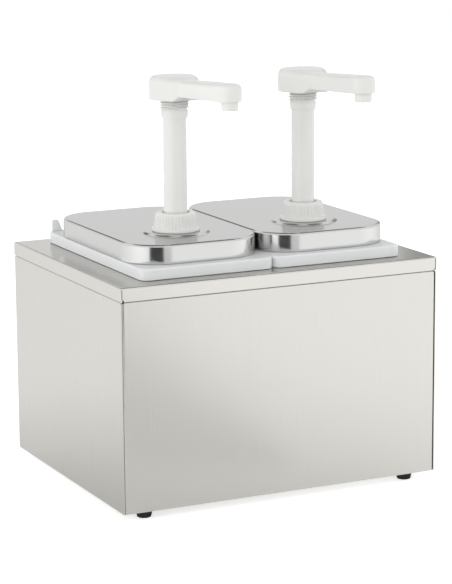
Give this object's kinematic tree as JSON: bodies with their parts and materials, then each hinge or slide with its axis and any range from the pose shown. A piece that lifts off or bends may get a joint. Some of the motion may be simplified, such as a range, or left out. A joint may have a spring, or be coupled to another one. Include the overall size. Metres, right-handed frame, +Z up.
{
  "type": "double sauce pump dispenser",
  "caption": "Free-standing steel box with lift-out plastic tubs side by side; each lid carries a plunger pump with a long spout that presses down, springs back and swivels.",
  "frame": {"origin": "centre of the bounding box at the height of the feet's undersides", "axes": "+Z up along the pump stems; -Y towards the spout tips and the user; +X to the user's right, across the two tubs"},
  "size_m": [0.327, 0.3028, 0.3981],
  "materials": {
    "brushed_steel": "stainless sheet, brushed satin, fold edges slightly brighter",
    "lid_steel": "deep drawn stainless lid, fine satin with soft mirror reflections",
    "foot_rubber": "matt black rubber",
    "zinc_screw": "zinc plated steel",
    "tub_plastic": "translucent bluish white moulded plastic, satin",
    "pump_plastic": "white moulded plastic, soft gloss",
    "clear_plastic": "natural translucent moulded plastic",
    "gasket_plastic": "soft foamed sealing ring",
    "spring_steel": "bright stainless wire and balls"
  },
  "bodies": {
    "housing": {"top_cover": "brushed_steel", "front_panel": "brushed_steel", "back_panel": "brushed_steel", "base_plate": "brushed_steel", "foot_1": "foot_rubber", "foot_screw_1": "zinc_screw", "foot_2": "foot_rubber", "foot_screw_2": "zinc_screw", "foot_3": "foot_rubber", "foot_screw_3": "zinc_screw", "foot_4": "foot_rubber", "foot_screw_4": "zinc_screw", "left_panel": "brushed_steel", "right_panel": "brushed_steel"},
    "left_tub_body": {"left_tub": "tub_plastic"},
    "left_lid_body": {"left_lid": "lid_steel", "left_neck": "pump_plastic", "left_gasket": "gasket_plastic", "left_closure": "pump_plastic", "left_barrel": "clear_plastic", "left_guide": "pump_plastic", "left_cage": "pump_plastic", "left_dip_tube": "clear_plastic", "left_spring": "spring_steel"},
    "left_plunger_body": {"left_piston": "clear_plastic"},
    "left_spout_body": {"left_stem": "pump_plastic", "left_head": "pump_plastic", "left_nozzle": "pump_plastic"},
    "left_inlet_ball_body": {"left_inlet_ball": "spring_steel"},
    "left_outlet_ball_body": {"left_outlet_ball": "spring_steel"},
    "right_tub_body": {"right_tub": "tub_plastic"},
    "right_lid_body": {"right_lid": "lid_steel", "right_neck": "pump_plastic", "right_gasket": "gasket_plastic", "right_closure": "pump_plastic", "right_barrel": "clear_plastic", "right_guide": "pump_plastic", "right_cage": "pump_plastic", "right_dip_tube": "clear_plastic", "right_spring": "spring_steel"},
    "right_plunger_body": {"right_piston": "clear_plastic"},
    "right_spout_body": {"right_stem": "pump_plastic", "right_head": "pump_plastic", "right_nozzle": "pump_plastic"},
    "right_inlet_ball_body": {"right_inlet_ball": "spring_steel"},
    "right_outlet_ball_body": {"right_outlet_ball": "spring_steel"}
  },
  "joints": [
    {"name": "left_tub_lift", "type": "slide", "parent": "housing", "child": "left_tub_body", "axis": [0, 0, 1], "range_m": [0, 0.2]},
    {"name": "left_lid_lift", "type": "slide", "parent": "left_tub_body", "child": "left_lid_body", "axis": [0, 0, 1], "range_m": [0, 0.205]},
    {"name": "left_pump_stroke", "type": "slide", "parent": "left_lid_body", "child": "left_plunger_body", "axis": [0, 0, 1], "range_m": [-0.096, 0], "stiffness_N_per_m": 150, "springref_m": 0.06, "deforming": ["left_spring"]},
    {"name": "left_spout_swivel", "type": "hinge", "parent": "left_plunger_body", "child": "left_spout_body", "pos_m": [-0.0674, -0.0236, 0.373], "axis": [0, 0, 1], "range_deg": [-205, 25]},
    {"name": "left_inlet_valve", "type": "slide", "parent": "left_lid_body", "child": "left_inlet_ball_body", "axis": [0, 0, 1], "range_m": [0, 0.0025]},
    {"name": "left_outlet_valve", "type": "slide", "parent": "left_spout_body", "child": "left_outlet_ball_body", "axis": [0, 0, 1], "range_m": [0, 0.0025]},
    {"name": "right_tub_lift", "type": "slide", "parent": "housing", "child": "right_tub_body", "axis": [0, 0, 1], "range_m": [0, 0.2]},
    {"name": "right_lid_lift", "type": "slide", "parent": "right_tub_body", "child": "right_lid_body", "axis": [0, 0, 1], "range_m": [0, 0.205]},
    {"name": "right_pump_stroke", "type": "slide", "parent": "right_lid_body", "child": "right_plunger_body", "axis": [0, 0, 1], "range_m": [-0.096, 0], "stiffness_N_per_m": 150, "springref_m": 0.06, "deforming": ["right_spring"]},
    {"name": "right_spout_swivel", "type": "hinge", "parent": "right_plunger_body", "child": "right_spout_body", "pos_m": [0.0674, -0.0236, 0.373], "axis": [0, 0, 1], "range_deg": [-25, 205]},
    {"name": "right_inlet_valve", "type": "slide", "parent": "right_lid_body", "child": "right_inlet_ball_body", "axis": [0, 0, 1], "range_m": [0, 0.0025]},
    {"name": "right_outlet_valve", "type": "slide", "parent": "right_spout_body", "child": "right_outlet_ball_body", "axis": [0, 0, 1], "range_m": [0, 0.0025]}
  ]
}
